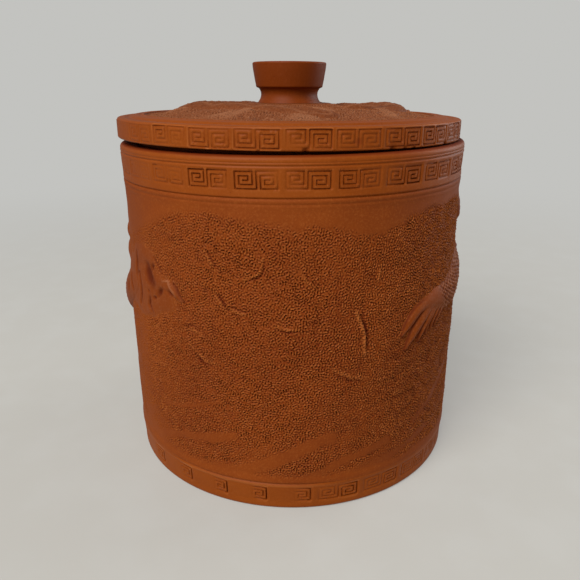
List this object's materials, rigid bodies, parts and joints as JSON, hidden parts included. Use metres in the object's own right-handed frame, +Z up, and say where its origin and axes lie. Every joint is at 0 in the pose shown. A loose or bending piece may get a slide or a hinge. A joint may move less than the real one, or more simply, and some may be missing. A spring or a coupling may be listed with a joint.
{
  "type": "lidded jar",
  "caption": "Round straight-sided jar of unglazed red clay with a lift-off flanged lid, a waisted knob and a dragon and cloud relief laid on the wall.",
  "frame": {"origin": "middle of the flat base, on the surface that the jar stands on", "axes": "+Z up the jar's axis, -Y out of the plain side of the wall, +X to the right of someone who looks at that side"},
  "size_m": [0.1412, 0.1362, 0.1515],
  "materials": {
    "red_clay": "unglazed, fine and smooth, satin",
    "relief_clay": "unglazed, carved and tooled, matt"
  },
  "bodies": {
    "jar": {"jar_body": "red_clay", "dragon_body": "relief_clay", "dragon_tail": "relief_clay", "dragon_haunch": "relief_clay", "dragon_reaching_claw": "relief_clay", "dragon_hind_foot": "relief_clay", "dragon_fore_foot": "relief_clay", "dragon_head": "relief_clay", "cloud_over_tail": "relief_clay", "cloud_under_back": "relief_clay", "cloud_at_foot": "relief_clay", "cloud_under_head": "relief_clay", "flaming_pearl": "relief_clay"},
    "lid": {"lid": "red_clay", "lid_knob": "red_clay", "lid_dragon": "relief_clay", "lid_cloud_right": "relief_clay", "lid_cloud_back": "relief_clay"}
  },
  "joints": [
    {"name": "lid_lift", "type": "slide", "parent": "jar", "child": "lid", "axis": [0, 0, 1], "range_m": [0, 0.08]}
  ]
}
